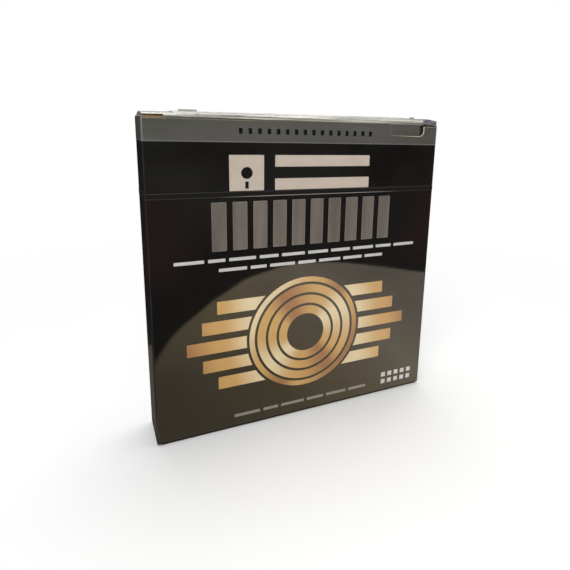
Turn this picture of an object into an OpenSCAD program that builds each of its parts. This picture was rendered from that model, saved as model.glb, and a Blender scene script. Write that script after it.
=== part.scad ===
// Sealed carton for ten 5.25 inch disks, upright, front panel towards -Y.
// Origin: middle of the bottom, on the table. Millimetres, +Z up.
// One folded sheet of board round its contents, closed and wrapped in clear film.

/* [Carton] */
// Width of the carton across the front panel
carton_w = 145; // [125:1:170]
// Depth of the carton from front to back
carton_d = 22; // [16:1:32]
// Height of the front panel's cut top edge above the table
front_h = 147; // [125:1:170]
// Thickness of the board
board_t = 0.5; // [0.35:0.05:0.7]
// Outer radius of the four upright creases
crease_r = 0.7; // [0.5:0.1:1]

/* [Lid] */
// Height of the lid's crown above the front panel's cut edge, at the left end
lid_rise = 2.6; // [2.4:0.1:4]
// How much higher the lid stands at the right end, where it isn't pressed home
lid_lift = 1.5; // [0.5:0.1:2]
// How far the lid bows up between its front and rear folds
lid_crown = 1; // [0.8:0.1:1.6]
// Outer radius of the rolled fold between lid and tuck flap
lid_fold_r = 1.5; // [1.2:0.1:1.8]
// Setback of the rolled fold behind the front panel's face
lid_setback = 0.25; // [0.2:0.05:0.4]
// Setback of the lid's cut ends from the side walls
lid_end_gap = 0.8; // [0.6:0.1:1.5]
// Length of the lock slit at each end of the rolled fold
slit_l = 8; // [5:0.5:12]
// Height of the gap that a lock slit leaves between dust flap and lid
slit_h = 0.5; // [0.3:0.05:0.6]
// Depth of the gap that a lock slit leaves under the lid
slit_depth = 2.5; // [1.5:0.5:5]
// Uncut width between a slit's gap and the end of the rolled fold
slit_web = 0.3; // [0.2:0.1:1]

/* [Dust flaps] */
// Height of the dust flaps' top face above the front panel's cut edge
flap_rise = 0.75; // [0.6:0.05:1]

/* [Tuck flap] */
// Play between the front panel and the tuck flap behind it
tuck_play = 0.25; // [0.15:0.05:0.5]
// Depth to which the play is open below the cut edge
tuck_open_h = 6; // [5:0.5:10]
// Distance of the tuck flap's cut ends from the side walls
tuck_end_inset = 10.5; // [8:0.5:14]

/* [Thumb notch] */
// Width of the thumb notch in the front panel
notch_w = 20; // [14:1:26]
// Depth of the thumb notch below the cut edge
notch_h = 4.8; // [4:0.2:6]
// Radius of the notch's two lower corners
notch_r = 2.5; // [1.5:0.1:3.5]
// Distance of the notch's middle from the right side wall
notch_inset = 18.5; // [17:0.5:40]

/* [Bottom] */
// Outer radius of the two folds under the carton
base_fold_r = 1.2; // [1:0.1:1.6]
// Setback of the bottom flap's cut ends from the side walls
base_end_inset = 2; // [1:0.5:4]

/* [Glued seam] */
// Width of the rear panel's lap on the left side wall
seam_lap = 1.6; // [1.2:0.1:3]

/* [Film wrap] */
// Width of the tear tape that runs round the carton
tape_w = 2.5; // [1.5:0.1:4]
// Drop of the tear tape's middle below the front panel's cut edge
tape_drop = 31.7; // [29:0.1:45]
// How far the tape stands proud of the board
tape_t = 0.1; // [0.06:0.02:0.2]
// Thickness of one layer of the film where it overlaps
film_t = 0.08; // [0.04:0.02:0.12]
// Overlap of the film's front and rear end flaps along the lid
lap_w = 6; // [3:0.5:8]
// Overlap of the film's upright seam on the rear panel
film_seam_w = 7; // [4:0.5:12]
// Width of the pleat of film that stands up behind the lid
rear_pleat_w = 8.2; // [4:0.2:12]
// Height of that pleat above the rear fold's middle
rear_pleat_h = 3; // [2:0.1:3.6]
// Distance of that pleat's middle from the left side wall
rear_pleat_inset = 22; // [12:0.5:40]
// Width of the small pleat on the film's right end flap
end_pleat_w = 3; // [2:0.5:5]
// Height of that pleat above the crown
end_pleat_h = 0.6; // [0.4:0.1:1]
// Thickness of a pleat
pleat_t = 0.3; // [0.2:0.05:0.5]

/* [Print] */
// Height of the silver band below the front panel's cut edge
band_h = 9.2; // [8:0.2:12]
// How far printed fields stand proud of the board
ink_t = 0.04; // [0.02:0.01:0.06]
// Number of small upright marks on the silver band
mark_count = 16; // [8:1:16]
// Width of one mark
mark_w = 1.6; // [0.8:0.1:2.5]
// Height of one mark
mark_h = 2.4; // [1:0.1:3]
// Spacing of the marks
mark_pitch = 4.3; // [3:0.1:4.4]
// Drop of the marks' middle below the cut edge
mark_drop = 4.3; // [3:0.1:6]
// Side of the pale square in the heading
icon_w = 15.7; // [12:0.1:18]
// Drop of the heading's middle below the cut edge
heading_drop = 22.4; // [20:0.2:22.6]
// Left edge of the heading, from the carton's middle
heading_x = -37.5; // [-45:0.5:-30]
// Length of the two pale bars beside the square
heading_bar_w = 49; // [30:1:60]
// Height of each pale bar
heading_bar_h = 5.2; // [3:0.1:6]
// Number of grey blocks, one for each disk inside
block_count = 10; // [4:1:12]
// Width of one grey block
block_w = 6.6; // [3:0.1:7]
// Spacing of the grey blocks
block_pitch = 9.4; // [8:0.1:10]
// Height of a grey block
block_h = 22; // [15:1:23]
// Drop of the grey blocks' middle below the cut edge
block_drop = 46; // [45.5:0.1:47]
// Length of the shortest dash in the rows of small print
dash_min = 6; // [3:0.5:8]
// Length of the longest dash
dash_max = 13; // [9:0.5:14]
// Gap between two dashes
dash_gap = 1.7; // [1:0.1:3]
// Height of a dash
dash_h = 1.5; // [0.8:0.1:2]
// Distance from the side walls that the upper row of dashes keeps
upper_inset = 8; // [6:0.5:30]
// Distance from the side walls that the lower row keeps
lower_inset = 29; // [20:0.5:40]
// Distance from the side walls that the row at the foot keeps
foot_inset = 34; // [20:0.5:40]
// Drop of the upper row below the cut edge
row_drop = 61.2; // [60:0.2:63]
// Drop of the lower row below the upper one
row_pitch = 4.6; // [3:0.1:6]
// Height of the row at the foot above the table
foot_row_z = 6.6; // [5:0.2:9]
// Side of one of the small squares that count the disks
count_w = 2.6; // [1.5:0.1:3.5]
// Spacing of the small squares
count_pitch = 4.2; // [3.6:0.1:5]
// Distance of the squares' last column from the right side wall
count_inset = 7.7; // [5:0.1:12]
// Height of the squares' lower row above the table
count_z = 6.4; // [5:0.2:9]
// Radius of the golden disc
disc_r = 29; // [24:0.5:31]
// Height of the golden disc's middle above the table
disc_z = 44.5; // [42:0.5:48]
// Width of the golden rim
rim_w = 2.6; // [1.5:0.1:3]
// Number of golden track rings inside the rim
track_count = 3; // [1:1:4]
// Width of one track ring
track_w = 4.2; // [2:0.1:4.5]
// Dark gap between two rings
track_gap = 1.3; // [0.6:0.1:1.6]
// Number of golden stripes that pass behind the disc
stripe_count = 5; // [3:2:5]
// Height of one golden stripe
stripe_h = 6.2; // [3:0.2:8]
// Spacing of the golden stripes
stripe_pitch = 9.4; // [8.4:0.1:11]
// Distance of the middle golden stripe's ends from the side walls
stripe_inset = 14.5; // [10:0.5:20]
// How much shorter each stripe is than the one nearer the middle
stripe_step = 14; // [6:1:20]

/* [Hidden] */
$fn = 64;
eps = 0.01;

front_y = -carton_d / 2;
rear_y = carton_d / 2;
left_x = -carton_w / 2;
crown_z = front_h + lid_rise;
wall_top_z = front_h + flap_rise;
crown_r = carton_d * carton_d / (8 * lid_crown) + lid_crown / 2;
crown_centre_z = crown_z - crown_r;
lid_edge_z = crown_z - lid_crown;
rear_fold_r = lid_fold_r * 0.6;
front_fold_y = front_y + lid_setback + lid_fold_r;
rear_fold_y = rear_y - rear_fold_r;
tuck_y = front_y + board_t + tuck_play;
lid_w = carton_w - 2 * lid_end_gap;
base_w = carton_w - 2 * base_end_inset;
rolled_w = lid_w - 2 * slit_l;
tuck_w = carton_w - 2 * tuck_end_inset;
lap_end_x = (lid_w - carton_d) / 2;
stripe_l = carton_w - 2 * stripe_inset;
slot_foot_z = front_h - tuck_open_h;
icon_hub_r = icon_w / 6;
icon_slot_w = icon_w / 10;
icon_slot_h = icon_w / 5;
icon_slot_drop = icon_w * 0.34;
// Turn from one dash to the next, in degrees, which makes their lengths uneven
dash_turn = 97;

// Height of a fold's centre, so that the fold runs smoothly into the crown
function fold_z(y, r) = crown_centre_z + sqrt((crown_r - r) * (crown_r - r) - y * y);

// Where the tuck flap's face meets the rolled fold
tuck_top_z = fold_z(front_fold_y, lid_fold_r) - sqrt(pow(lid_fold_r, 2) - pow(front_fold_y - tuck_y, 2));

// A solid with a profile drawn in Y and Z, w wide and centred on X
module along_x(w) {
    translate([-w / 2, 0, 0]) rotate([90, 0, 90]) linear_extrude(w) children();
}

// A solid with an outline drawn in X and Z on the front panel, t thick, from face y forwards
module on_front(y, t) {
    translate([0, y, 0]) rotate([90, 0, 0]) linear_extrude(t) children();
}

module bar(w, h) {
    square([w, h], center = true);
}

// The tube of four walls, with the two dust flaps folded in at each end
module walls() {
    difference() {
        translate([0, 0, board_t]) linear_extrude(wall_top_z - board_t) wall_outline();
        for (side = [-1, 1]) end_crease(side);
        bottom_relief();
        // The front panel is cut lower than the side walls
        translate([-carton_w / 2 + board_t, front_y - eps, front_h])
            cube([carton_w - 2 * board_t, tuck_y - front_y + eps, flap_rise + eps]);
    }
}

// Outline of the four walls seen from above, grown by what lies on the board
module wall_outline(grow = 0) {
    square([carton_w - 2 * crease_r, carton_d + 2 * grow], center = true);
    square([carton_w + 2 * grow, carton_d - 2 * crease_r], center = true);
    for (x = [-1, 1], y = [-1, 1])
        translate([x * (carton_w / 2 - crease_r), y * (carton_d / 2 - crease_r)]) circle(crease_r + grow);
}

// What the crease between a side wall and its dust flap rounds away, top and bottom
module end_crease(side) {
    for (end = [0, 1])
        translate([side * carton_w / 2, 0, end ? wall_top_z : board_t])
            mirror([side > 0 ? 1 : 0, 0, 0]) mirror([0, 0, end]) rotate([90, 0, 0])
                linear_extrude(carton_d + 2 * crease_r, center = true)
                    difference() {
                        translate([-crease_r, -crease_r]) square(2 * crease_r);
                        translate([crease_r, crease_r]) circle(crease_r);
                    }
}

// The large disc whose top is the lid's crown, grown by what lies on the lid
module crown_disc(grow = 0) {
    translate([0, crown_centre_z]) circle(crown_r + grow, $fn = 360);
}

// Section of the lid from its rear crease over the crown to the rolled fold
module lid_section() {
    // The disc's sector between the two folds
    intersection() {
        crown_disc();
        polygon([
            [0, crown_centre_z],
            [front_fold_y * 2, 2 * fold_z(front_fold_y, lid_fold_r) - crown_centre_z],
            [rear_fold_y * 2, 2 * fold_z(rear_fold_y, rear_fold_r) - crown_centre_z],
        ]);
    }
    translate([front_fold_y, fold_z(front_fold_y, lid_fold_r)]) circle(lid_fold_r);
    translate([rear_fold_y, fold_z(rear_fold_y, rear_fold_r)]) circle(rear_fold_r);
    polygon([
        [front_fold_y, fold_z(front_fold_y, lid_fold_r)],
        [rear_y, fold_z(rear_fold_y, rear_fold_r)],
        [rear_y, slot_foot_z],
        [tuck_y, slot_foot_z],
        [tuck_y, tuck_top_z],
    ]);
}

// The lid's section beside the rolled fold, where a lock slit has cut it: a flat cut edge
module slit_section() {
    intersection() {
        lid_section();
        translate([front_y + lid_setback + board_t, 0]) square([carton_d, 2 * front_h]);
    }
}

// The lid, lifted at its right end, with the film's end flaps folded over it
module lid() {
    translate([-lid_w / 2, 0, wall_top_z]) rotate([0, -asin(lid_lift / lid_w), 0])
        translate([lid_w / 2, 0, -wall_top_z]) {
            difference() {
                union() {
                    along_x(rolled_w) lid_section();
                    along_x(lid_w) slit_section();
                }
                for (side = [-1, 1]) film_end_fold(side);
            }
            film_lap();
            rear_pleat();
            end_pleat();
        }
}

// Gap of a lock slit between dust flap and lid
module lock_slit(side) {
    slit_x = rolled_w / 2 + slit_web + slit_l / 2;
    translate([side * slit_x, front_y + slit_depth / 2, wall_top_z - eps])
        linear_extrude(slit_h + eps) bar(slit_l, slit_depth);
}

// The film's end flap lies one layer lower, between the mitred ends of the front and rear flaps
module film_end_fold(side) {
    difference() {
        translate([0, 0, front_h]) linear_extrude(2 * lid_rise) polygon([
            [side * lap_end_x, 0],
            [side * (lid_w / 2 + eps), front_y - eps],
            [side * (lid_w / 2 + eps), rear_y + eps],
        ]);
        along_x(carton_w) crown_disc(-film_t);
    }
}

// Where the film's front and rear end flaps overlap along the middle of the lid
module film_lap() {
    lap = lap_w / 2;
    intersection() {
        translate([0, 0, front_h]) linear_extrude(2 * lid_rise) polygon([
            [-lap_end_x, 0], [lap - lap_end_x, -lap], [lap_end_x - lap, -lap],
            [lap_end_x, 0], [lap_end_x - lap, lap], [lap - lap_end_x, lap],
        ]);
        along_x(lid_w) difference() {
            crown_disc(film_t);
            crown_disc(-film_t);
        }
    }
}

// A pleat of film that stands up behind the lid
module rear_pleat() {
    x = left_x + rear_pleat_inset - rear_pleat_w / 2;
    translate([x, rear_y - rear_fold_r - pleat_t / 2, fold_z(rear_fold_y, rear_fold_r)])
        cube([rear_pleat_w, pleat_t, rear_pleat_h]);
}

// A small pleat on the right end flap, just beyond the point where the overlap ends
module end_pleat() {
    translate([lap_end_x + end_pleat_w / 2, -pleat_t / 2, lid_edge_z])
        cube([end_pleat_w, pleat_t, lid_crown + end_pleat_h]);
}

// Bottom flap, hinged on the front panel and tucked in behind the rear panel
module bottom_flap() {
    y0 = front_y + base_fold_r;
    y1 = rear_y - board_t - tuck_play - base_fold_r;
    along_x(base_w) {
        translate([y0, base_fold_r]) circle(base_fold_r);
        translate([y1, base_fold_r]) circle(base_fold_r);
        translate([y0, 0]) square([y1 - y0, 2 * base_fold_r]);
    }
}

// The front panel ends where its fold into the bottom flap starts, and the rear panel is cut there
module bottom_relief() {
    relief_t = board_t + tuck_play;
    for (y = [front_y, rear_y])
        translate([0, y, 0]) cube([carton_w + 2 * eps, 2 * relief_t, 2 * base_fold_r], center = true);
}

// Thumb notch through the front panel, down to the tuck flap's face
module thumb_notch() {
    depth = tuck_y - front_y;
    translate([carton_w / 2 - notch_inset, 0, front_h])
        on_front(tuck_y, 2 * depth) {
            translate([-notch_w / 2 + notch_r, -notch_h]) square([notch_w - 2 * notch_r, notch_h + eps]);
            translate([-notch_w / 2, notch_r - notch_h]) square([notch_w, notch_h - notch_r + eps]);
            for (side = [-1, 1])
                translate([side * (notch_w / 2 - notch_r), notch_r - notch_h]) circle(notch_r);
        }
}

// Open play between the front panel and the tuck flap, deeper beyond the flap's cut ends
module tuck_slot() {
    translate([-lid_w / 2, tuck_y - tuck_play, slot_foot_z])
        cube([lid_w, tuck_play, tuck_open_h + eps]);
    // Beyond the flap's cut ends the gap goes on under the dust flap
    span = tuck_end_inset - board_t - lid_end_gap;
    for (side = [-1, 1])
        translate([side * (tuck_w + span) / 2 - span / 2, tuck_y - eps, slot_foot_z])
            cube([span, slit_depth, wall_top_z - board_t - slot_foot_z]);
}

// The rear panel's cut edge where it laps over the left side wall
module glued_seam() {
    translate([left_x - board_t / 2, rear_y - seam_lap - tuck_play, 0])
        cube([board_t, tuck_play, wall_top_z]);
}

// Tear tape of the film wrap, once round the four walls
module tear_tape() {
    translate([0, 0, front_h - tape_drop - tape_w / 2]) linear_extrude(tape_w) wall_outline(tape_t);
}

// Upright seam of the film, up the middle of the rear panel
module film_seam() {
    translate([-film_seam_w / 2, rear_y - board_t, 2 * base_fold_r])
        cube([film_seam_w, board_t + film_t, front_h - 2 * base_fold_r]);
}

// Silver band round the top of the four walls
module silver_band() {
    difference() {
        translate([0, 0, front_h - band_h]) linear_extrude(band_h) wall_outline(ink_t);
        thumb_notch();
        tuck_slot();
        glued_seam();
    }
}

// Small upright marks on the silver band, in black over the silver
module band_marks() {
    first = -(mark_count - 1) / 2 * mark_pitch;
    on_front(front_y, 2 * ink_t)
        for (i = [0:mark_count - 1])
            translate([first + i * mark_pitch, front_h - mark_drop]) bar(mark_w, mark_h);
}

// Heading: a pale square with a disk's hub hole and head slot, and two plain bars
module heading() {
    icon_x = heading_x + icon_w / 2;
    bar_x = heading_x + icon_w + icon_w / 3 + heading_bar_w / 2;
    on_front(front_y, ink_t) translate([0, front_h - heading_drop]) {
        translate([icon_x, 0]) difference() {
            bar(icon_w, icon_w);
            circle(icon_hub_r);
            translate([0, -icon_slot_drop]) bar(icon_slot_w, icon_slot_h);
        }
        for (side = [-1, 1])
            translate([bar_x, side * (icon_w - heading_bar_h) / 2]) bar(heading_bar_w, heading_bar_h);
    }
}

// A row of plain blocks, one for each disk
module grey_blocks() {
    first = -(block_count - 1) / 2 * block_pitch;
    on_front(front_y, ink_t)
        for (i = [0:block_count - 1])
            translate([first + i * block_pitch, front_h - block_drop]) bar(block_w, block_h);
}

// Length of a dash, and where it starts after the ones before it
function dash_l(i) = dash_min + (dash_max - dash_min) * abs(sin(dash_turn * (i + 1)));
function dash_start(i) = i == 0 ? 0 : dash_start(i - 1) + dash_l(i - 1) + dash_gap;

// The dashes that fit in a width, counted from a number that is sure to fit
function dashes_in(w, i = 1) = dash_start(i + 1) - dash_gap > w ? i : dashes_in(w, i + 1);

// A centred row of dashes as long as words, which keeps clear of the side walls
module dash_row(inset, z) {
    count = dashes_in(carton_w - 2 * inset);
    on_front(front_y, ink_t) translate([(dash_gap - dash_start(count)) / 2, z])
        for (i = [0:count - 1])
            translate([dash_start(i), -dash_h / 2]) square([dash_l(i), dash_h]);
}

module small_print() {
    dash_row(upper_inset, front_h - row_drop);
    dash_row(lower_inset, front_h - row_drop - row_pitch);
    dash_row(foot_inset, foot_row_z);
}

// Small squares in two rows, one for each disk
module count_squares() {
    on_front(front_y, ink_t)
        for (i = [0:block_count / 2 - 1], row = [0, 1])
            translate([carton_w / 2 - count_inset - i * count_pitch, count_z + row * count_pitch])
                bar(count_w, count_w);
}

// Golden disc of a rim and track rings, over stripes that shorten away from its middle
module golden_disc() {
    middle = (stripe_count - 1) / 2;
    ring_pitch = track_w + track_gap;
    on_front(front_y, ink_t) translate([0, disc_z]) {
        difference() {
            circle(disc_r);
            circle(disc_r - rim_w);
        }
        for (i = [0:track_count - 1])
            difference() {
                circle(disc_r - rim_w - track_gap - i * ring_pitch);
                circle(disc_r - rim_w - (i + 1) * ring_pitch);
            }
        difference() {
            for (i = [0:stripe_count - 1])
                translate([0, (i - middle) * stripe_pitch])
                    bar(stripe_l - abs(i - middle) * stripe_step, stripe_h);
            circle(disc_r + track_gap);
        }
    }
}

module sealed_carton() {
    color("#161413") difference() {
        union() {
            walls();
            lid();
            bottom_flap();
            film_seam();
        }
        tuck_slot();
        thumb_notch();
        glued_seam();
        for (side = [-1, 1]) lock_slit(side);
    }
    color("silver") silver_band();
    color("#161413") band_marks();
    color("#3a3632") tear_tape();
    color("#cdbfae") heading();
    color("#736a61") grey_blocks();
    color("lightgrey") small_print();
    color("lightgrey") count_squares();
    color("#cda05a") golden_disc();
}

sealed_carton();
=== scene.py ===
import math
import bpy
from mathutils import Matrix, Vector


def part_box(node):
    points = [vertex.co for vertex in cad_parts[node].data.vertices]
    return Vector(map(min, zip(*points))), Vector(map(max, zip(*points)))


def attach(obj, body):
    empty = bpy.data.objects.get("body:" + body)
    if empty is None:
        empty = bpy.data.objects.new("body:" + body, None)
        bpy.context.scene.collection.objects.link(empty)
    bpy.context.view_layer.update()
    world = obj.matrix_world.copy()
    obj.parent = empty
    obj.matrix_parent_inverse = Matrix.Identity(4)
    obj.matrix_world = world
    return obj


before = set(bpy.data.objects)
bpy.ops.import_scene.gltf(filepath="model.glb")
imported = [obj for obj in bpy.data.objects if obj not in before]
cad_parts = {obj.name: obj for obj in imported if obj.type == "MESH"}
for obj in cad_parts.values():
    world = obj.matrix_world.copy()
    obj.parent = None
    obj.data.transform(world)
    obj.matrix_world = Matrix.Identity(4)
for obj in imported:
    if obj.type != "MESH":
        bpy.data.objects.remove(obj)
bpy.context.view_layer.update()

# The view. The photographer held the camera level with the lid, a little to the left and
# close to the carton, so the sheet of the front panel tapers strongly to the right.
MM = 0.001
VIEWPOINT = (-91.0 * MM, -220.0 * MM, 147.0 * MM)
VIEW_TURN = (math.radians(77.133), math.radians(-1.933), math.radians(-26.528))

bpy.ops.object.select_all(action="DESELECT")
bpy.ops.object.camera_add(location=VIEWPOINT, rotation=VIEW_TURN)
camera = bpy.context.object
camera.name = "camera"
camera.data.sensor_width = 36.0
camera.data.lens = 30.693
camera.data.shift_x = -0.0895
camera.data.shift_y = -0.0881
camera.data.clip_start = 0.01
bpy.context.scene.camera = camera
bpy.context.scene.view_settings.view_transform = "Standard"


# The studio. A pale floor that fades into a white surround, two soft lamps, and cards that
# only reflections see. A warm card round the carton is the lit table that the film wrap
# mirrors in the photo, and black cards beyond it and behind are the dark room around it.
def link(tree, output, target):
    tree.links.new(output, target)


def math_node(tree, operation, first, second=None):
    """A Math node whose inputs are sockets or plain numbers."""
    made = tree.nodes.new("ShaderNodeMath")
    made.operation = operation
    for socket, value in zip(made.inputs, (first, second)):
        if isinstance(value, (int, float)):
            socket.default_value = value
        elif value is not None:
            link(tree, value, socket)
    return made.outputs[0]


def new_material(name):
    """An empty material and its tree, with the Principled shader that it starts with."""
    material = bpy.data.materials.new(name)
    material.use_nodes = True
    tree = material.node_tree
    return material, tree, tree.nodes["Principled BSDF"]


def seen_rays(tree):
    """1 for the rays that show a surround: sight, mirror images and glass."""
    path = tree.nodes.new("ShaderNodeLightPath")
    mirrored = math_node(tree, "MAXIMUM", path.outputs["Is Glossy Ray"], path.outputs["Is Transmission Ray"])
    return math_node(tree, "MAXIMUM", path.outputs["Is Camera Ray"], mirrored)


def steep(tree, value, least, most):
    """Runs from 0 to 1 while a value runs from one limit to the other."""
    made = tree.nodes.new("ShaderNodeMapRange")
    made.inputs["From Min"].default_value = least
    made.inputs["From Max"].default_value = most
    link(tree, value, made.inputs["Value"])
    return made.outputs["Result"]


FLOOR_SIZE = 30.0
FADE_START = 0.12
FADE_END = 0.45
bpy.ops.object.select_all(action="DESELECT")
bpy.ops.mesh.primitive_plane_add(size=FLOOR_SIZE)
floor = bpy.context.object
floor.name = "floor"
floor_paper, tree, shader = new_material("floor_paper")
shader.inputs["Base Color"].default_value = (0.93, 0.93, 0.925, 1.0)
shader.inputs["Roughness"].default_value = 0.9
shader.inputs["Specular IOR Level"].default_value = 0.1
place = tree.nodes.new("ShaderNodeTexCoord")
reach = tree.nodes.new("ShaderNodeVectorMath")
reach.operation = "LENGTH"
link(tree, place.outputs["Object"], reach.inputs[0])
fade = tree.nodes.new("ShaderNodeMapRange")
fade.interpolation_type = "SMOOTHSTEP"
fade.inputs["From Min"].default_value = FADE_START
fade.inputs["From Max"].default_value = FADE_END
link(tree, reach.outputs["Value"], fade.inputs["Value"])
surround = tree.nodes.new("ShaderNodeEmission")
blend = tree.nodes.new("ShaderNodeMixShader")
link(tree, math_node(tree, "MULTIPLY", fade.outputs["Result"], seen_rays(tree)), blend.inputs[0])
link(tree, shader.outputs[0], blend.inputs[1])
link(tree, surround.outputs[0], blend.inputs[2])
link(tree, blend.outputs[0], tree.nodes["Material Output"].inputs["Surface"])
floor.data.materials.append(floor_paper)

def mirror_card(card, paint):
    """Gives a card its material and hides it from all but reflections."""
    card.data.materials.append(paint)
    card.visible_camera = False
    card.visible_diffuse = False
    card.visible_shadow = False
    card.visible_transmission = False


card_black, tree, shader = new_material("card_black")
shader.inputs["Base Color"].default_value = (0.012, 0.012, 0.012, 1.0)
shader.inputs["Roughness"].default_value = 1.0
shader.inputs["Specular IOR Level"].default_value = 0.0

POOL_MIDDLE = (101 * MM, 194 * MM, 0.5 * MM)
POOL_SIZE = (452 * MM, 215 * MM)
POOL_TURN = math.radians(-90.3)
POOL_SHARP = 0.98
CARD_REACH = 25.0
CARD_RISE = 1.8
bpy.ops.object.select_all(action="DESELECT")
bpy.ops.mesh.primitive_circle_add(vertices=96, radius=1.0, location=POOL_MIDDLE)
floor_card = bpy.context.object
floor_card.name = "floor_card"
floor_card.scale = (POOL_SIZE[0], POOL_SIZE[1], 1.0)
floor_card.rotation_euler = (0.0, 0.0, POOL_TURN)
bpy.ops.object.mode_set(mode="EDIT")
bpy.ops.mesh.select_all(action="SELECT")
bpy.ops.mesh.extrude_region_move()
bpy.ops.transform.resize(value=(CARD_REACH, CARD_REACH, 1.0))
bpy.ops.mesh.extrude_region_move(TRANSFORM_OT_translate={"value": (0.0, 0.0, CARD_RISE)})
bpy.ops.object.mode_set(mode="OBJECT")
mirror_card(floor_card, card_black)

BEHIND_CARD = (0.0, 389 * MM, 0.7 * MM)
BEHIND_SIZE = (1.2, 0.8)
bpy.ops.object.select_all(action="DESELECT")
bpy.ops.mesh.primitive_plane_add(size=1.0, location=BEHIND_CARD)
behind_card = bpy.context.object
behind_card.name = "behind_card"
behind_card.scale = (*BEHIND_SIZE, 1.0)
mirror_card(behind_card, card_black)

SIDE_GLOW = (0.16, 0.14, 0.11, 1.0)
SIDE_GLOW_PLACE = (-173 * MM, 43 * MM, 0.9 * MM)
SIDE_GLOW_SIZE = (0.2, 0.108)
bpy.ops.object.select_all(action="DESELECT")
bpy.ops.mesh.primitive_plane_add(size=1.0, location=SIDE_GLOW_PLACE)
side_card = bpy.context.object
side_card.name = "side_card"
side_card.scale = (*SIDE_GLOW_SIZE, 1.0)
dim_glow, tree, shader = new_material("dim_glow")
shader.inputs["Base Color"].default_value = (0.0, 0.0, 0.0, 1.0)
shader.inputs["Specular IOR Level"].default_value = 0.0
shader.inputs["Emission Color"].default_value = SIDE_GLOW
shader.inputs["Emission Strength"].default_value = 1.0
mirror_card(side_card, dim_glow)

FAR_LEFT_LIGHT = 0.7
MOTTLE = 0.16
TABLE_GLOW = (
    (-70 * MM, (0.29, 0.24, 0.16)), (0.0, (0.42, 0.35, 0.20)), (40 * MM, (0.70, 0.57, 0.38)),
    (85 * MM, (0.92, 0.78, 0.58)), (150 * MM, (0.69, 0.61, 0.485)),
)
bpy.ops.object.select_all(action="DESELECT")
bpy.ops.mesh.primitive_circle_add(vertices=96, radius=1.0, fill_type="NGON", location=POOL_MIDDLE)
table_card = bpy.context.object
table_card.name = "table_card"
table_card.scale = (POOL_SIZE[0], POOL_SIZE[1], 1.0)
table_card.rotation_euler = (0.0, 0.0, POOL_TURN)
bpy.ops.object.transform_apply(location=True, rotation=True, scale=True)
table_glow, tree, shader = new_material("table_glow")
place = tree.nodes.new("ShaderNodeTexCoord")
split = tree.nodes.new("ShaderNodeSeparateXYZ")
link(tree, place.outputs["Object"], split.inputs[0])
along = steep(tree, split.outputs["X"], TABLE_GLOW[0][0], TABLE_GLOW[-1][0])
glow_ramp = tree.nodes.new("ShaderNodeValToRGB")
steps = glow_ramp.color_ramp.elements
while len(steps) < len(TABLE_GLOW):
    steps.new(0.5)
for step, (at, colour) in zip(steps, TABLE_GLOW):
    step.position = (at - TABLE_GLOW[0][0]) / (TABLE_GLOW[-1][0] - TABLE_GLOW[0][0])
    step.color = (*colour, 1.0)
link(tree, along, glow_ramp.inputs["Fac"])
light = tree.nodes.new("ShaderNodeEmission")
link(tree, glow_ramp.outputs["Color"], light.inputs["Color"])
pool_place = tree.nodes.new("ShaderNodeMapping")
pool_place.vector_type = "TEXTURE"
pool_place.inputs["Location"].default_value = POOL_MIDDLE
pool_place.inputs["Rotation"].default_value = (0.0, 0.0, POOL_TURN)
pool_place.inputs["Scale"].default_value = (*POOL_SIZE, 1.0)
link(tree, place.outputs["Object"], pool_place.inputs["Vector"])
from_middle = tree.nodes.new("ShaderNodeVectorMath")
from_middle.operation = "LENGTH"
link(tree, pool_place.outputs[0], from_middle.inputs[0])
edge_fade = tree.nodes.new("ShaderNodeMapRange")
edge_fade.interpolation_type = "SMOOTHSTEP"
edge_fade.inputs["From Min"].default_value = 1.0
edge_fade.inputs["From Max"].default_value = POOL_SHARP
link(tree, from_middle.outputs["Value"], edge_fade.inputs["Value"])
far_left = math_node(
    tree, "MULTIPLY", steep(tree, split.outputs["X"], 50 * MM, -10 * MM), steep(tree, split.outputs["Y"], -60 * MM, -130 * MM))
brighter = math_node(tree, "ADD", math_node(tree, "MULTIPLY", far_left, FAR_LEFT_LIGHT), 1.0 - MOTTLE / 2)
patches = tree.nodes.new("ShaderNodeTexNoise")
patches.inputs["Scale"].default_value = 16.0
link(tree, place.outputs["Object"], patches.inputs["Vector"])
patches = steep(tree, patches.outputs["Fac"], 0.35, 0.65)
brighter = math_node(tree, "ADD", brighter, math_node(tree, "MULTIPLY", patches, MOTTLE))
link(tree, math_node(tree, "MULTIPLY", edge_fade.outputs["Result"], brighter), light.inputs["Strength"])
link(tree, light.outputs[0], tree.nodes["Material Output"].inputs["Surface"])
mirror_card(table_card, table_glow)


def soft_lamp(name, place, aim, size, power):
    """A square soft lamp at a place, turned to a point."""
    bpy.ops.object.select_all(action="DESELECT")
    bpy.ops.object.light_add(type="AREA", location=place)
    lamp = bpy.context.object
    lamp.name = name
    lamp.data.size = size
    lamp.data.energy = power
    gap = [a - p for a, p in zip(aim, place)]
    flat = math.hypot(gap[0], gap[1])
    lamp.rotation_euler = (math.atan2(flat, -gap[2]), 0.0, math.atan2(gap[1], gap[0]) - math.pi / 2)


soft_lamp("key_lamp", (-0.55, -0.85, 0.95), (0.0, 0.0, 0.07), 0.9, 9.0)
soft_lamp("top_lamp", (0.15, 0.25, 1.2), (0.0, 0.0, 0.1), 0.8, 7.0)

SURROUND_LIGHT = 0.45
world = bpy.data.worlds.new("surround")
bpy.context.scene.world = world
world.use_nodes = True
tree = world.node_tree
seen = seen_rays(tree)
glow = math_node(tree, "MULTIPLY", seen, 1.0 - SURROUND_LIGHT)
link(tree, math_node(tree, "ADD", glow, SURROUND_LIGHT), tree.nodes["Background"].inputs["Strength"])
tree.nodes["Background"].inputs["Color"].default_value = (1.0, 1.0, 1.0, 1.0)


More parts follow.
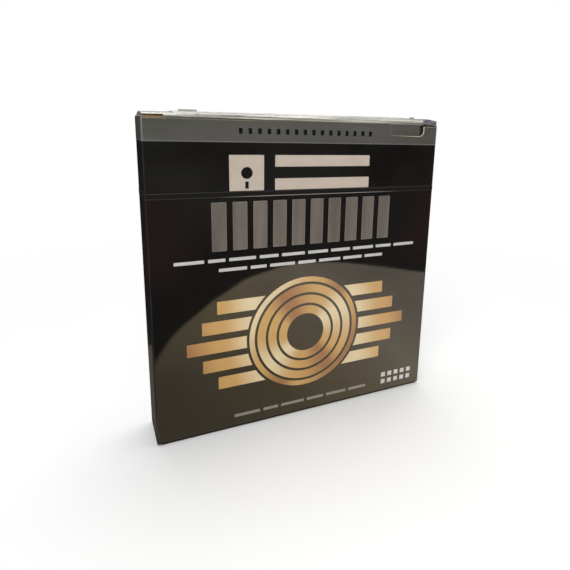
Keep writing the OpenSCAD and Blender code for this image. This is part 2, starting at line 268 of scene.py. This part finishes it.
# The carton board. White-lined board 0.5 mm thick, printed black with a silver band at the
# top, creased, glued and closed, under a film drawn tight that gives it its gloss. Cut
# edges show the bare board, and the film is crinkled where it folds over the lid.
low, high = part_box("sealed_carton")
BOARD = 0.5 * MM
TAPE_STAND = 0.1 * MM
FRONT = low[1] + TAPE_STAND
HALF_WIDTH = high[0] - TAPE_STAND
CREASE = 0.75 * MM
CUT_EDGE = 147.0 * MM
BAND_FOOT = CUT_EDGE - 9.2 * MM
FLAP_TOP = CUT_EDGE + 0.75 * MM
FLAP_FACE = FRONT + 0.75 * MM
ROLL_HALF = 63.7 * MM
LID_HALF = 71.7 * MM
LID_CROWN = 149.6 * MM
LID_SLOPE = 1.5 / 143.4
CROWN_DIAMETER = 122.0 * MM
POCKET_FOOT = 141.1 * MM
NOTCH_X = 54.0 * MM
NOTCH_SIZE = (20.0 * MM, 4.8 * MM)
NOTCH_RADIUS = 2.5 * MM
TAPE_Z = 115.3 * MM
TAPE_WIDTH = 2.5 * MM
BASE_FOLD = 1.5 * MM


def axes_of(tree):
    """The place on the carton as three sockets, in metres."""
    place = tree.nodes.new("ShaderNodeTexCoord")
    split = tree.nodes.new("ShaderNodeSeparateXYZ")
    link(tree, place.outputs["Object"], split.inputs[0])
    return place.outputs["Object"], split.outputs


def between(tree, value, least, most):
    """1 where a value lies between two limits."""
    above = math_node(tree, "GREATER_THAN", value, least)
    return math_node(tree, "MULTIPLY", above, math_node(tree, "LESS_THAN", value, most))


def noise(tree, place, scale, detail=2.0, stretch=(1.0, 1.0, 1.0)):
    """A noise pattern on the carton, its scale in features per metre."""
    mapping = tree.nodes.new("ShaderNodeMapping")
    mapping.inputs["Scale"].default_value = stretch
    link(tree, place, mapping.inputs["Vector"])
    made = tree.nodes.new("ShaderNodeTexNoise")
    made.inputs["Scale"].default_value = scale
    made.inputs["Detail"].default_value = detail
    link(tree, mapping.outputs[0], made.inputs["Vector"])
    return made.outputs["Fac"]


def mixed(tree, factor, first, second):
    """A colour between two, each a socket or a plain colour."""
    made = tree.nodes.new("ShaderNodeMix")
    made.data_type = "RGBA"
    link(tree, factor, made.inputs["Factor"])
    colours = [s for s in made.inputs if s.type == "RGBA"]
    for socket, value in zip(colours, (first, second)):
        if isinstance(value, tuple):
            socket.default_value = (*value, 1.0)
        else:
            link(tree, value, socket)
    return [s for s in made.outputs if s.type == "RGBA"][0]


def either(tree, *masks):
    """1 where any of the masks is 1."""
    value = masks[0]
    for mask in masks[1:]:
        value = math_node(tree, "MAXIMUM", value, mask)
    return value


def both(tree, *masks):
    """1 where all of the masks are 1."""
    value = masks[0]
    for mask in masks[1:]:
        value = math_node(tree, "MULTIPLY", value, mask)
    return value


def film_gloss(tree, shader, height):
    """The tight film over the print: a clear coat, and a surface that is never quite flat."""
    place, axis = axes_of(tree)
    waves = math_node(tree, "MULTIPLY", noise(tree, place, 22.0, 1.0), 0.00055)
    fibres = math_node(tree, "MULTIPLY", noise(tree, place, 900.0, 2.0), 0.0000035)
    relief = math_node(tree, "ADD", waves, fibres)
    if height is not None:
        relief = math_node(tree, "ADD", relief, height)
    bump = tree.nodes.new("ShaderNodeBump")
    bump.inputs["Distance"].default_value = 1.0
    link(tree, relief, bump.inputs["Height"])
    link(tree, bump.outputs[0], shader.inputs["Normal"])
    link(tree, bump.outputs[0], shader.inputs["Coat Normal"])
    shader.inputs["Coat Weight"].default_value = 1.0
    shader.inputs["Coat Roughness"].default_value = 0.035
    shader.inputs["Coat IOR"].default_value = 1.9
    shader.inputs["Specular IOR Level"].default_value = 0.1


board_print, tree, shader = new_material("board_print")
place, axis = axes_of(tree)
x, y, z = axis["X"], axis["Y"], axis["Z"]
x_away = math_node(tree, "ABSOLUTE", x)

# Distance outside the thumb notch's outline
notch_side = math_node(tree, "ABSOLUTE", math_node(tree, "SUBTRACT", x, NOTCH_X))
notch_side = math_node(tree, "MAXIMUM", math_node(tree, "SUBTRACT", notch_side, NOTCH_SIZE[0] / 2 - NOTCH_RADIUS), 0.0)
notch_down = math_node(tree, "SUBTRACT", CUT_EDGE - NOTCH_SIZE[1] + NOTCH_RADIUS, z)
notch_down = math_node(tree, "MAXIMUM", notch_down, 0.0)
corner = math_node(tree, "ADD", math_node(tree, "POWER", notch_side, 2.0), math_node(tree, "POWER", notch_down, 2.0))
from_notch = math_node(tree, "SUBTRACT", math_node(tree, "SQRT", corner), NOTCH_RADIUS)
rim_reach = math_node(tree, "MULTIPLY", math_node(tree, "SUBTRACT", x, NOTCH_X - 14 * MM), 0.014)
front_board = both(
    tree,
    math_node(tree, "LESS_THAN", y, FRONT + BOARD + 0.05 * MM),
    math_node(tree, "LESS_THAN", z, CUT_EDGE + 0.05 * MM),
    math_node(tree, "LESS_THAN", x_away, HALF_WIDTH - CREASE),
)
notch_rim = both(
    tree, front_board,
    math_node(tree, "GREATER_THAN", from_notch, -0.02 * MM),
    math_node(tree, "LESS_THAN", from_notch, rim_reach),
)
beyond_roll = math_node(tree, "GREATER_THAN", x_away, ROLL_HALF - 1.0 * MM)
edge_reach = math_node(tree, "ADD", math_node(tree, "MULTIPLY", beyond_roll, 0.12 * MM), 0.02 * MM)
front_edge = both(
    tree, front_board,
    math_node(tree, "GREATER_THAN", math_node(tree, "ADD", z, edge_reach), CUT_EDGE),
)
flap_edge = both(
    tree, beyond_roll,
    between(tree, y, FLAP_FACE - 0.02 * MM, FLAP_FACE + 0.02 * MM),
    between(tree, z, CUT_EDGE, FLAP_TOP + 0.01 * MM),
)

# Depth below the lid's crown, which rises to the right
crown = math_node(tree, "MULTIPLY", math_node(tree, "ADD", x, LID_HALF), LID_SLOPE)
crown = math_node(tree, "SUBTRACT", crown, math_node(tree, "MULTIPLY", math_node(tree, "POWER", y, 2.0), 1 / CROWN_DIAMETER))
lid_depth = math_node(tree, "SUBTRACT", math_node(tree, "ADD", crown, LID_CROWN), z)
on_lid = math_node(tree, "GREATER_THAN", z, FLAP_TOP + 0.01 * MM)
lid_face = both(
    tree, on_lid, math_node(tree, "GREATER_THAN", x_away, ROLL_HALF - 0.05 * MM),
    either(tree, math_node(tree, "LESS_THAN", y, FLAP_FACE + 0.02 * MM),
           math_node(tree, "GREATER_THAN", x_away, LID_HALF - 0.05 * MM)),
)
lid_edge = both(tree, lid_face, between(tree, lid_depth, 0.03 * MM, BOARD * 0.55))
pleat = both(tree, on_lid, math_node(tree, "LESS_THAN", lid_depth, -0.15 * MM))
pocket = both(
    tree, math_node(tree, "GREATER_THAN", y, FLAP_FACE + 0.02 * MM),
    math_node(tree, "LESS_THAN", y, FLAP_FACE + 2.4 * MM), between(tree, z, POCKET_FOOT, CUT_EDGE + 0.3 * MM),
    between(tree, x_away, ROLL_HALF - 2.0 * MM, LID_HALF - 0.4 * MM),
)
cut = either(tree, notch_rim, front_edge, flap_edge, lid_edge, pocket)
silver = math_node(tree, "GREATER_THAN", z, BAND_FOOT)

# The film's own marks: a seam line along the band's foot and the two edges of the tear tape.
# The tape's edges are painted highlights where the film lifts over it, the lower edge brightest near the middle.
tape_away = math_node(tree, "ABSOLUTE", math_node(tree, "SUBTRACT", z, TAPE_Z))
on_tape = math_node(tree, "LESS_THAN", tape_away, TAPE_WIDTH / 2)
tape_edge = between(tree, tape_away, TAPE_WIDTH / 2 - 0.3 * MM, TAPE_WIDTH / 2 + 0.02 * MM)
band_edge = between(tree, z, BAND_FOOT, BAND_FOOT + 0.4 * MM)
# A lighter line along each side crease: painted highlight, and in the black also wear, broken up by noise.
crease_highlight_and_wear = between(tree, x_away, HALF_WIDTH - 0.8 * MM, HALF_WIDTH - 0.2 * MM)
wear_and_sheen_noise = noise(tree, place, 45.0, 3.0, (0.4, 1.0, 2.0))

grain = noise(tree, place, 260.0, 4.0)
black_ink = mixed(tree, grain, (0.0040, 0.0034, 0.0031), (0.0072, 0.0060, 0.0053))
# The black a little lighter in mottled patches, more so towards the top.
upper_mottle = steep(tree, noise(tree, place, 28.0, 3.0, (0.6, 1.0, 1.0)), 0.42, 0.66)
upper_mottle = both(tree, upper_mottle, steep(tree, z, 75 * MM, 120 * MM))
black_ink = mixed(tree, upper_mottle, black_ink, (0.0130, 0.0124, 0.0108))
# Painted reddish reflection in the black near both side edges at mid height, its edge broken up by noise.
reflection_side = steep(tree, math_node(tree, "ADD", x_away, math_node(tree, "MULTIPLY", wear_and_sheen_noise, 16 * MM)), 58 * MM, 76 * MM)
reflection_height = both(tree, steep(tree, z, 70 * MM, 88 * MM), steep(tree, z, 124 * MM, 108 * MM))
black_ink = mixed(tree, both(tree, reflection_side, reflection_height), black_ink, (0.0155, 0.0062, 0.0068))
black_ink = mixed(tree, on_tape, black_ink, (0.012, 0.011, 0.010))
# Painted highlight on the tape's edges, brightest on the lower edge near the middle.
tape_edge_highlight = steep(tree, math_node(tree, "ABSOLUTE", math_node(tree, "SUBTRACT", x, 4 * MM)), 46 * MM, 28 * MM)
tape_edge_highlight = both(tree, tape_edge_highlight, math_node(tree, "LESS_THAN", z, TAPE_Z))
tape_edge_highlight = math_node(tree, "ADD", math_node(tree, "MULTIPLY", tape_edge_highlight, 0.85), 0.10)
black_ink = mixed(tree, both(tree, tape_edge, tape_edge_highlight), black_ink, (0.30, 0.285, 0.26))
# Painted highlight and wear along the side creases in the black.
black_ink = mixed(tree, both(tree, crease_highlight_and_wear, wear_and_sheen_noise), black_ink, (0.030, 0.028, 0.026))
black_ink = mixed(tree, between(tree, z, BASE_FOLD, BASE_FOLD + 0.4 * MM), black_ink, (0.022, 0.021, 0.018))
tarnish = steep(tree, noise(tree, place, 70.0, 3.0, (0.3, 1.0, 1.4)), 0.3, 0.7)
silver_ink = mixed(tree, tarnish, (0.118, 0.116, 0.102), (0.172, 0.167, 0.152))
# Lighter silver along the band's foot seam, and painted highlight along the side creases.
silver_ink = mixed(tree, either(tree, band_edge, crease_highlight_and_wear), silver_ink, (0.26, 0.255, 0.24))
# Painted highlights in streaks along the film's folds on the lid, with painted shade between.
painted_fold_sheen = steep(tree, noise(tree, place, 300.0, 3.0, (0.05, 1.0, 3.0)), 0.38, 0.62)
lid_film = mixed(tree, painted_fold_sheen, (0.12, 0.115, 0.098), (0.61, 0.585, 0.505))
# Painted shade, dark brown, on the lid roll's left front face; its end faces lighter and the right end grey-violet.
lid_ends = mixed(tree, math_node(tree, "GREATER_THAN", x_away, LID_HALF - 0.05 * MM), (0.05, 0.036, 0.026), (0.46, 0.44, 0.40))
lid_ends = mixed(tree, math_node(tree, "GREATER_THAN", x, 0.0), lid_ends, (0.17, 0.16, 0.18))
lid_film = mixed(tree, lid_face, lid_film, lid_ends)
lid_film = mixed(tree, pleat, lid_film, (0.46, 0.46, 0.39))
silver_ink = mixed(tree, on_lid, silver_ink, lid_film)
printed = mixed(tree, silver, black_ink, silver_ink)
bare_board = mixed(tree, noise(tree, place, 1500.0, 2.0), (0.44, 0.33, 0.22), (0.78, 0.68, 0.54))
# Painted shade, dark brown, in the pocket behind the tuck flap and on the flap's right cut edge.
painted_shade = either(tree, both(tree, flap_edge, math_node(tree, "GREATER_THAN", x, 0.0)), pocket)
bare_board = mixed(tree, flap_edge, bare_board, (0.40, 0.23, 0.11))
bare_board = mixed(tree, painted_shade, bare_board, (0.055, 0.032, 0.020))
link(tree, mixed(tree, cut, printed, bare_board), shader.inputs["Base Color"])

uncut = math_node(tree, "SUBTRACT", 1.0, cut)
metal = math_node(tree, "MULTIPLY", both(tree, silver, uncut), 0.5)
link(tree, metal, shader.inputs["Metallic"])
roughness = math_node(tree, "ADD", math_node(tree, "MULTIPLY", noise(tree, place, 120.0), 0.1), 0.40)
link(tree, roughness, shader.inputs["Roughness"])
creases = math_node(tree, "MULTIPLY", noise(tree, place, 160.0, 3.0, (0.2, 4.0, 4.0)), 0.0006)
film_gloss(tree, shader, both(tree, creases, on_lid))
wrapped = math_node(tree, "GREATER_THAN", z, BASE_FOLD)
on_side = math_node(tree, "GREATER_THAN", x_away, HALF_WIDTH - 0.3 * MM)
dulled = math_node(tree, "MULTIPLY", either(tree, on_lid, on_side), 0.55)
coat = math_node(tree, "SUBTRACT", math_node(tree, "MULTIPLY", wrapped, 0.8), dulled)
link(tree, math_node(tree, "ADD", coat, 0.2), shader.inputs["Coat Weight"])

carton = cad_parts["sealed_carton"]
for material_slot in carton.material_slots:
    material_slot.material = board_print


# The crinkled film on the lid. The film's front and rear flaps lie loosely over the crown,
# so the carton's top outline is never straight, and their folds carry painted highlights in streaks, with painted
# shade between.
# A smaller crumple of it stands in front of the lid's lifted right end.
def film_crinkle(name, dark, light, scale, stretch):
    """Clear film over silver print, with painted highlights on its folds and painted shade between them."""
    material, tree, shader = new_material(name)
    place, axis = axes_of(tree)
    folds = noise(tree, place, scale, 3.0, stretch)
    link(tree, mixed(tree, steep(tree, folds, 0.36, 0.64), dark, light), shader.inputs["Base Color"])
    shader.inputs["Metallic"].default_value = 0.3
    shader.inputs["Roughness"].default_value = 0.38
    bump = tree.nodes.new("ShaderNodeBump")
    bump.inputs["Distance"].default_value = 1.0
    link(tree, math_node(tree, "MULTIPLY", folds, 0.0006), bump.inputs["Height"])
    link(tree, bump.outputs[0], shader.inputs["Normal"])
    shader.inputs["Coat Weight"].default_value = 0.3
    shader.inputs["Coat Roughness"].default_value = 0.12
    return material


def crumple(sheet, size, strength, direction):
    """Creases a fine sheet by a cloud pattern, the fold size and depth in metres."""
    clouds = bpy.data.textures.new("folds", "CLOUDS")
    clouds.noise_scale = size
    clouds.noise_depth = 2
    displace = sheet.modifiers.new("folds", "DISPLACE")
    displace.texture = clouds
    displace.texture_coords = "LOCAL"
    displace.direction = direction
    displace.strength = strength
    displace.mid_level = 0.3
    bpy.ops.object.modifier_apply(modifier="folds")
    bpy.ops.object.shade_smooth()


SHEET = (119.0 * MM, 20.2 * MM)
SHEET_Y = -0.5 * MM
SHEET_STEPS = (240, 48)
bpy.ops.object.select_all(action="DESELECT")
bpy.ops.mesh.primitive_grid_add(
    x_subdivisions=SHEET_STEPS[0], y_subdivisions=SHEET_STEPS[1], size=1.0, location=(0.0, SHEET_Y, high[2]),
)
lid_sheet = bpy.context.object
lid_sheet.name = "lid_film"
lid_sheet.scale = (*SHEET, 1.0)
bpy.ops.object.transform_apply(location=True, rotation=True, scale=True)
drape = lid_sheet.modifiers.new("drape", "SHRINKWRAP")
drape.target = carton
drape.wrap_method = "PROJECT"
drape.use_project_z = True
drape.use_negative_direction = True
drape.use_positive_direction = False
drape.offset = 0.04 * MM
bpy.ops.object.modifier_apply(modifier="drape")
crumple(lid_sheet, 4.5 * MM, 0.7 * MM, "Z")
lid_sheet.data.materials.append(
    film_crinkle("lid_crinkle", (0.15, 0.143, 0.122), (0.69, 0.66, 0.57), 300.0, (0.05, 1.0, 3.0)))
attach(lid_sheet, "root")

END_SHEET = (8.4 * MM, 2.5 * MM)
END_PLACE = (68.0 * MM, -10.5 * MM, 149.2 * MM)
END_TILT = math.radians(7)
bpy.ops.object.select_all(action="DESELECT")
bpy.ops.mesh.primitive_grid_add(
    x_subdivisions=36, y_subdivisions=14, size=1.0, location=END_PLACE, rotation=(math.pi / 2, END_TILT, 0.0),
)
end_sheet = bpy.context.object
end_sheet.name = "end_film"
end_sheet.scale = (*END_SHEET, 1.0)
bpy.ops.object.transform_apply(location=True, rotation=True, scale=True)
crumple(end_sheet, 1.6 * MM, 0.7 * MM, "Y")
end_sheet.data.materials.append(
    film_crinkle("end_crinkle", (0.075, 0.068, 0.080), (0.36, 0.34, 0.38), 900.0, (1.0, 1.0, 1.6)))
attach(end_sheet, "root")


# The heading. A pale square with a disk's hub hole and head slot, and two plain bars, in
# beige ink. Every printed field is a skin of ink a few hundredths of a millimetre thick.
INK = 0.06 * MM
INK_CORNER = 0.25 * MM
OUTLINE = 0.3 * MM
CORNER_STEPS = 3
HEADING_Z = 124.6 * MM
HEADING_LEFT = -37.5 * MM
ICON = 15.7 * MM
HEADING_BAR = (49.0 * MM, 5.2 * MM)


def close_field(name, material, thickness=INK):
    """Gives the outline in edit mode its thickness, from the ink's face back to the board."""
    bpy.ops.mesh.select_all(action="SELECT")
    bpy.ops.mesh.extrude_region_move(TRANSFORM_OT_translate={"value": (0.0, thickness, 0.0)})
    bpy.ops.mesh.select_all(action="SELECT")
    bpy.ops.mesh.normals_make_consistent(inside=False)
    bpy.ops.object.mode_set(mode="OBJECT")
    field = bpy.context.object
    field.name = name
    bpy.ops.object.transform_apply(location=True, rotation=True, scale=True)
    if material is not None:
        field.data.materials.append(material)
    return field


def printed_bar(name, x, z, width, height, material, thickness=INK, middle=None):
    """A bar of ink with rounded corners. A second material leaves the first as a fine outline."""
    face = FRONT - thickness
    bpy.ops.object.select_all(action="DESELECT")
    bpy.ops.mesh.primitive_plane_add(size=1.0, location=(x, face, z), rotation=(math.pi / 2, 0.0, 0.0))
    bpy.ops.object.mode_set(mode="EDIT")
    bpy.ops.transform.resize(value=(width, 1.0, height))
    bpy.ops.mesh.bevel(offset=INK_CORNER, segments=CORNER_STEPS, affect="VERTICES")
    if middle is not None:
        bar = bpy.context.object
        bar.data.materials.append(material)
        bar.data.materials.append(middle)
        bpy.ops.mesh.inset(thickness=OUTLINE)
        bar.active_material_index = 1
        bpy.ops.object.material_slot_assign()
        return close_field(name, None, thickness)
    return close_field(name, material, thickness)


def copy_along(piece, count, step):
    """Copies the piece just made, each copy one step on from the last."""
    row = piece.modifiers.new("row", "ARRAY")
    row.count = count
    row.use_relative_offset = False
    row.use_constant_offset = True
    row.constant_offset_displace = step
    bpy.ops.object.modifier_apply(modifier="row")


def join(name, parts):
    """Joins pieces of one kind into one."""
    bpy.ops.object.select_all(action="DESELECT")
    for part in parts:
        part.select_set(True)
    bpy.context.view_layer.objects.active = parts[0]
    if len(parts) > 1:
        bpy.ops.object.join()
    parts[0].name = name
    return parts[0]


def cut_away(piece, cutter):
    """Cuts one piece by another, which is then deleted."""
    bpy.ops.object.select_all(action="DESELECT")
    piece.select_set(True)
    bpy.context.view_layer.objects.active = piece
    hole = piece.modifiers.new("hole", "BOOLEAN")
    hole.operation = "DIFFERENCE"
    hole.solver = "EXACT"
    hole.object = cutter
    bpy.ops.object.modifier_apply(modifier="hole")
    bpy.data.objects.remove(cutter)


def ink(name, dark, light, scale=220.0):
    """Opaque ink under the film, a little mottled as it lies on the board."""
    material, tree, shader = new_material(name)
    place, axis = axes_of(tree)
    link(tree, mixed(tree, noise(tree, place, scale, 4.0), dark, light), shader.inputs["Base Color"])
    shader.inputs["Roughness"].default_value = 0.55
    film_gloss(tree, shader, None)
    return material


beige_ink = ink("beige_ink", (0.50, 0.42, 0.35), (0.62, 0.53, 0.44))
icon_x = HEADING_LEFT + ICON / 2
icon = printed_bar("icon", icon_x, HEADING_Z, ICON, ICON, None)
bpy.ops.object.select_all(action="DESELECT")
bpy.ops.mesh.primitive_cylinder_add(
    vertices=64, radius=ICON / 6, depth=1.0 * MM,
    location=(icon_x, FRONT, HEADING_Z), rotation=(math.pi / 2, 0.0, 0.0),
)
cut_away(icon, bpy.context.object)
bpy.ops.mesh.primitive_cube_add(size=1.0, location=(icon_x, FRONT, HEADING_Z - ICON * 0.34))
head_slot = bpy.context.object
head_slot.scale = (ICON / 10, 1.0 * MM, ICON / 5)
cut_away(icon, head_slot)
icon.data.materials.append(beige_ink)
bar_x = HEADING_LEFT + ICON * 4 / 3 + HEADING_BAR[0] / 2
bar_rise = (ICON - HEADING_BAR[1]) / 2
bars = printed_bar("bars", bar_x, HEADING_Z - bar_rise, *HEADING_BAR, beige_ink)
copy_along(bars, 2, (0.0, 0.0, 2 * bar_rise))
heading = join("heading", [icon, bars])
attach(heading, "root")


# The ten grey blocks, one for each disk in the carton, in the same silver ink as the band,
# a little warmer for the black under it.
BLOCKS = 10
BLOCK = (6.6 * MM, 22.0 * MM)
BLOCK_PITCH = 9.4 * MM
BLOCK_Z = 101.0 * MM


def silver_on_black(name, dark, light):
    """Silver ink printed thin over black: half metal, brushed by the squeegee."""
    material, tree, shader = new_material(name)
    place, axis = axes_of(tree)
    brushed = noise(tree, place, 60.0, 4.0, (3.0, 1.0, 0.35))
    link(tree, mixed(tree, steep(tree, brushed, 0.3, 0.7), dark, light), shader.inputs["Base Color"])
    shader.inputs["Metallic"].default_value = 0.6
    shader.inputs["Roughness"].default_value = 0.45
    film_gloss(tree, shader, None)
    return material


warm_silver = silver_on_black("warm_silver", (0.205, 0.178, 0.152), (0.32, 0.288, 0.258))
pale_silver = silver_on_black("pale_silver", (0.30, 0.27, 0.245), (0.38, 0.35, 0.32))
first_x = -(BLOCKS - 1) / 2 * BLOCK_PITCH
grey_blocks = printed_bar("grey_blocks", first_x, BLOCK_Z, *BLOCK, pale_silver, middle=warm_silver)
copy_along(grey_blocks, BLOCKS, (BLOCK_PITCH, 0.0, 0.0))
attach(grey_blocks, "root")


# The rows of small print. Plain dashes of the length of words, pale under the blocks and dim
# at the foot of the panel, with ten small squares for a count, and upright marks in black
# on the silver band.
DASH_LENGTHS = (6 * MM, 13 * MM)
DASH_TURN = 97.0
DASH_GAP = 1.7 * MM
DASH_HEIGHT = 1.5 * MM


def dash_row(name, count, z, material):
    """A centred row of dashes, their lengths between two limits by a steady rule."""
    shortest, longest = DASH_LENGTHS
    lengths = [
        shortest + (longest - shortest) * abs(math.sin(math.radians(DASH_TURN * (i + 1)))) for i in range(count)
    ]
    x = -(sum(lengths) + (count - 1) * DASH_GAP) / 2
    dashes = []
    for length in lengths:
        dashes.append(printed_bar("dash", x + length / 2, z, length, DASH_HEIGHT, material))
        x += length + DASH_GAP
    row = join(name, dashes)
    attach(row, "root")


pale_ink = ink("pale_ink", (0.50, 0.49, 0.47), (0.66, 0.65, 0.63))
dim_ink = ink("dim_ink", (0.20, 0.185, 0.17), (0.27, 0.25, 0.23))
dark_ink = ink("dark_ink", (0.0040, 0.0036, 0.0033), (0.0075, 0.0068, 0.0062))
dash_row("upper_dashes", 10, 85.8 * MM, pale_ink)
dash_row("lower_dashes", 7, 81.2 * MM, pale_ink)
dash_row("foot_dashes", 6, 6.6 * MM, dim_ink)

COUNT_SIZE = 2.6 * MM
COUNT_PITCH = 4.2 * MM
COUNT_PLACE = (48.0 * MM, 6.4 * MM)
count_squares = printed_bar("count_squares", *COUNT_PLACE, COUNT_SIZE, COUNT_SIZE, pale_ink)
copy_along(count_squares, BLOCKS // 2, (COUNT_PITCH, 0.0, 0.0))
copy_along(count_squares, 2, (0.0, 0.0, COUNT_PITCH))
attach(count_squares, "root")

MARKS = 16
MARK = (1.6 * MM, 2.4 * MM)
MARK_PITCH = 4.3 * MM
MARK_Z = 142.7 * MM
MARK_STAND = 0.095 * MM
first_x = -(MARKS - 1) / 2 * MARK_PITCH
band_marks = printed_bar("band_marks", first_x, MARK_Z, *MARK, dark_ink, MARK_STAND)
copy_along(band_marks, MARKS, (MARK_PITCH, 0.0, 0.0))
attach(band_marks, "root")


# The golden disc and its stripes. A disc with a rim, dark track rings and a hub hole, over
# stripes that shorten away from its middle, shaded in print as polished metal is.
DISC_Z = 44.5 * MM
DISC_RADIUS = 29.0 * MM
RIM = 2.6 * MM
TRACK_GAP = 1.3 * MM
TRACK_WIDTH = 4.2 * MM
TRACKS = 3
DISC_STEPS = 160
PALE_GOLD = (0.72, 0.59, 0.37)
GOLD = (0.545, 0.315, 0.105)
COPPER = (0.31, 0.13, 0.047)


def ramp(tree, value, stops):
    """A colour ramp, each stop a place and a colour."""
    made = tree.nodes.new("ShaderNodeValToRGB")
    made.color_ramp.interpolation = "EASE"
    steps = made.color_ramp.elements
    while len(steps) < len(stops):
        steps.new(0.5)
    for step, (at, colour) in zip(steps, stops):
        step.position = at
        step.color = (*colour, 1.0)
    link(tree, value, made.inputs["Fac"])
    return made.outputs["Color"]


def gold_ink(name, round_sheen, stops, turn=0.0, span=1.0):
    """Gold shaded in print, by the angle round the disc or along a slant."""
    material, tree, shader = new_material(name)
    place, axis = axes_of(tree)
    mapping = tree.nodes.new("ShaderNodeMapping")
    mapping.vector_type = "TEXTURE"
    mapping.inputs["Location"].default_value = (0.0, 0.0, DISC_Z)
    mapping.inputs["Rotation"].default_value = (math.pi / 2, turn, 0.0)
    mapping.inputs["Scale"].default_value = (span, span, span)
    link(tree, place, mapping.inputs["Vector"])
    if round_sheen:
        gradient = tree.nodes.new("ShaderNodeTexGradient")
        gradient.gradient_type = "RADIAL"
        link(tree, mapping.outputs[0], gradient.inputs["Vector"])
        value = gradient.outputs["Fac"]
    else:
        slant = tree.nodes.new("ShaderNodeSeparateXYZ")
        link(tree, mapping.outputs[0], slant.inputs[0])
        value = math_node(tree, "ADD", slant.outputs["X"], 0.5)
    flow = math_node(tree, "MULTIPLY", math_node(tree, "SUBTRACT", noise(tree, place, 30.0, 2.0), 0.5), 0.10)
    value = math_node(tree, "ADD", value, flow)
    link(tree, ramp(tree, value, stops), shader.inputs["Base Color"])
    shader.inputs["Roughness"].default_value = 0.5
    film_gloss(tree, shader, None)
    return material


disc_gold = gold_ink("disc_gold", True, (
    (0.0, GOLD), (0.10, PALE_GOLD), (0.20, GOLD), (0.34, COPPER), (0.42, GOLD),
    (0.58, PALE_GOLD), (0.68, GOLD), (0.84, COPPER), (0.92, GOLD), (1.0, GOLD),
))
rim_gold = gold_ink("rim_gold", False, (
    (0.0, PALE_GOLD), (0.3, GOLD), (0.55, COPPER), (0.7, GOLD), (1.0, COPPER),
), turn=math.radians(35), span=2 * DISC_RADIUS)
stripe_gold = gold_ink("stripe_gold", False, (
    (0.0, COPPER), (0.16, GOLD), (0.3, PALE_GOLD), (0.5, GOLD), (0.72, PALE_GOLD), (0.86, GOLD), (1.0, COPPER),
), turn=math.radians(-8), span=120 * MM)

bpy.ops.object.select_all(action="DESELECT")
bpy.ops.mesh.primitive_circle_add(
    vertices=DISC_STEPS, radius=DISC_RADIUS, fill_type="NGON",
    location=(0.0, FRONT - INK, DISC_Z), rotation=(math.pi / 2, 0.0, 0.0),
)
disc = bpy.context.object
for material in (rim_gold, disc_gold, dark_ink):
    disc.data.materials.append(material)
bpy.ops.object.mode_set(mode="EDIT")
bpy.ops.mesh.select_all(action="SELECT")
bpy.ops.mesh.inset(thickness=RIM)
for track in range(TRACKS):
    disc.active_material_index = 2
    bpy.ops.object.material_slot_assign()
    bpy.ops.mesh.inset(thickness=TRACK_GAP)
    disc.active_material_index = 1
    bpy.ops.object.material_slot_assign()
    bpy.ops.mesh.inset(thickness=TRACK_WIDTH)
disc.active_material_index = 2
bpy.ops.object.material_slot_assign()
golden_disc = close_field("golden_disc", None)
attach(golden_disc, "root")

STRIPES = 5
STRIPE_HEIGHT = 6.2 * MM
STRIPE_PITCH = 9.4 * MM
STRIPE_LENGTH = 116.0 * MM
STRIPE_STEP = 14.0 * MM
DISC_CLEAR = DISC_RADIUS + TRACK_GAP
STRIPE_START = 0.6 * DISC_CLEAR
stripes = []
for i in range(STRIPES):
    from_middle = i - (STRIPES - 1) / 2
    stripe_end = (STRIPE_LENGTH - abs(from_middle) * STRIPE_STEP) / 2
    stripes.append(printed_bar(
        "stripe", (STRIPE_START + stripe_end) / 2, DISC_Z + from_middle * STRIPE_PITCH,
        stripe_end - STRIPE_START, STRIPE_HEIGHT, None,
    ))
golden_stripes = join("golden_stripes", stripes)
bpy.ops.object.select_all(action="DESELECT")
bpy.ops.mesh.primitive_cylinder_add(
    vertices=DISC_STEPS, radius=DISC_CLEAR, depth=1.0 * MM,
    location=(0.0, FRONT, DISC_Z), rotation=(math.pi / 2, 0.0, 0.0),
)
cut_away(golden_stripes, bpy.context.object)
golden_stripes.modifiers.new("left_half", "MIRROR")
bpy.ops.object.modifier_apply(modifier="left_half")
bpy.ops.object.mode_set(mode="EDIT")
bpy.ops.mesh.select_all(action="SELECT")
bpy.ops.mesh.normals_make_consistent(inside=False)
bpy.ops.object.mode_set(mode="OBJECT")
golden_stripes.data.materials.append(stripe_gold)
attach(golden_stripes, "root")
